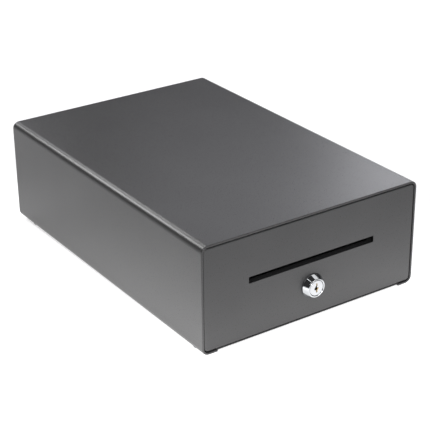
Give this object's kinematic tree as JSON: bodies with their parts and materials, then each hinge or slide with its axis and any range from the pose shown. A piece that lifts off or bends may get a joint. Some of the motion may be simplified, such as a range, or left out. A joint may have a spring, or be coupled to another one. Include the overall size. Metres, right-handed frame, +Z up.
{
  "type": "cash drawer",
  "caption": "Compact steel cash drawer with a slip slot and key lock in front. It rolls out on side runners and holds a till with coin cups and note clips. A solenoid latch holds it shut.",
  "frame": {"origin": "centre of the overall footprint, lock and screw heads included, on the surface that the feet stand on", "axes": "+Z up, +X to the right of a person who faces the drawer's front, -Y out of the front, the way the drawer opens"},
  "size_m": [0.28, 0.4172, 0.128],
  "materials": {
    "charcoal_coat": "charcoal grey satin powder coat with a fine grain",
    "zinc_steel": "zinc-plated sheet steel, satin",
    "chrome": "polished chrome plating",
    "screw_steel": "turned steel, satin",
    "spring_steel": "drawn spring wire",
    "black_plastic": "black moulded ABS with a fine texture",
    "nylon": "natural white nylon",
    "rubber": "black moulded rubber",
    "copper": "enamelled copper winding",
    "wire_sleeve": "black PVC lead"
  },
  "bodies": {
    "cabinet": {"case_shell": "charcoal_coat", "base_pan": "charcoal_coat", "rear_panel": "charcoal_coat", "foot_1": "rubber", "foot_2": "rubber", "foot_3": "rubber", "foot_4": "rubber", "base_screw_1": "screw_steel", "base_screw_2": "screw_steel", "base_screw_3": "screw_steel", "base_screw_4": "screw_steel", "rear_screw_1": "screw_steel", "rear_screw_2": "screw_steel", "rear_screw_3": "screw_steel", "rear_screw_4": "screw_steel", "case_rail_right": "zinc_steel", "case_rail_left": "zinc_steel", "case_roller_pin_right": "screw_steel", "case_roller_pin_left": "screw_steel", "lock_keeper": "zinc_steel", "latch_bracket": "zinc_steel", "latch_spring": "spring_steel", "solenoid_frame": "zinc_steel", "solenoid_coil": "copper", "switch_body": "black_plastic", "ejector_rod": "screw_steel", "ejector_spring": "spring_steel", "modular_jack": "black_plastic", "wire_harness": "wire_sleeve"},
    "drawer": {"drawer_box": "charcoal_coat", "front_panel": "charcoal_coat", "media_deflector": "charcoal_coat", "striker": "zinc_steel", "lock_body": "chrome", "lock_nut": "zinc_steel", "drawer_rail_right": "zinc_steel", "drawer_rail_left": "zinc_steel", "drawer_roller_pin_right": "screw_steel", "drawer_roller_pin_left": "screw_steel", "till_tray": "black_plastic", "coin_cup_1": "black_plastic", "coin_cup_2": "black_plastic", "coin_cup_3": "black_plastic", "coin_cup_4": "black_plastic", "coin_cup_5": "black_plastic", "bill_divider_1": "black_plastic", "bill_divider_2": "black_plastic", "clip_axle": "screw_steel"},
    "key_cylinder": {"lock_plug": "chrome", "lock_cam": "zinc_steel"},
    "note_clip_1": {"bill_clip_1": "black_plastic"},
    "note_clip_2": {"bill_clip_2": "black_plastic"},
    "note_clip_3": {"bill_clip_3": "black_plastic"},
    "case_wheel_right": {"case_roller_right": "nylon"},
    "case_wheel_left": {"case_roller_left": "nylon"},
    "drawer_wheel_right": {"drawer_roller_right": "nylon"},
    "drawer_wheel_left": {"drawer_roller_left": "nylon"},
    "latch": {"latch_lever": "zinc_steel"},
    "plunger": {"solenoid_plunger": "screw_steel"},
    "switch_leaf": {"switch_lever": "spring_steel"}
  },
  "joints": [
    {"name": "drawer_slide", "type": "slide", "parent": "cabinet", "child": "drawer", "axis": [0, -1, 0], "range_m": [0, 0.28]},
    {"name": "case_wheel_right_spin", "type": "hinge", "parent": "cabinet", "child": "case_wheel_right", "pos_m": [0.1321, -0.1756, 0.0283], "axis": [1, 0, 0], "continuous": true},
    {"name": "case_wheel_left_spin", "type": "hinge", "parent": "cabinet", "child": "case_wheel_left", "pos_m": [-0.1321, -0.1756, 0.0283], "axis": [1, 0, 0], "continuous": true},
    {"name": "drawer_wheel_right_spin", "type": "hinge", "parent": "drawer", "child": "drawer_wheel_right", "pos_m": [0.1291, 0.1404, 0.029], "axis": [1, 0, 0], "continuous": true},
    {"name": "drawer_wheel_left_spin", "type": "hinge", "parent": "drawer", "child": "drawer_wheel_left", "pos_m": [-0.1291, 0.1404, 0.029], "axis": [1, 0, 0], "continuous": true},
    {"name": "key_turn", "type": "hinge", "parent": "drawer", "child": "key_cylinder", "pos_m": [0, -0.19, 0.0424], "axis": [0, 1, 0], "range_deg": [0, 90]},
    {"name": "note_clip_1_lift", "type": "hinge", "parent": "drawer", "child": "note_clip_1", "pos_m": [-0.08, 0.1054, 0.058], "axis": [-1, 0, 0], "range_deg": [0, 105], "stiffness_Nm_per_rad": 0.03, "springref_deg": -22.92},
    {"name": "note_clip_2_lift", "type": "hinge", "parent": "drawer", "child": "note_clip_2", "pos_m": [0, 0.1054, 0.058], "axis": [-1, 0, 0], "range_deg": [0, 105], "stiffness_Nm_per_rad": 0.03, "springref_deg": -22.92},
    {"name": "note_clip_3_lift", "type": "hinge", "parent": "drawer", "child": "note_clip_3", "pos_m": [0.08, 0.1054, 0.058], "axis": [-1, 0, 0], "range_deg": [0, 105], "stiffness_Nm_per_rad": 0.03, "springref_deg": -22.92},
    {"name": "latch_turn", "type": "hinge", "parent": "cabinet", "child": "latch", "pos_m": [0.06, 0.1719, 0.04], "axis": [0, -1, 0], "range_deg": [0, 14], "stiffness_Nm_per_rad": 0.05, "springref_deg": 20.05, "deforming": ["latch_spring"]},
    {"name": "plunger_slide", "type": "slide", "parent": "cabinet", "child": "plunger", "axis": [-1, 0, 0], "range_m": [0, 0.0034]},
    {"name": "switch_press", "type": "hinge", "parent": "cabinet", "child": "switch_leaf", "pos_m": [0.104, 0.1728, 0.026], "axis": [0, 1, 0], "range_deg": [0, 12]}
  ],
  "couplings": [
    {"joint": "case_wheel_right_spin", "follows": "drawer_slide", "rad_per_m": 126.58},
    {"joint": "case_wheel_left_spin", "follows": "drawer_slide", "rad_per_m": 126.58},
    {"joint": "drawer_wheel_right_spin", "follows": "drawer_slide", "rad_per_m": 113.64},
    {"joint": "drawer_wheel_left_spin", "follows": "drawer_slide", "rad_per_m": 113.64},
    {"joint": "plunger_slide", "follows": "latch_turn", "m_per_rad": 0.013861},
    {"joint": "switch_press", "follows": "latch_turn", "ratio": 0.85714}
  ]
}
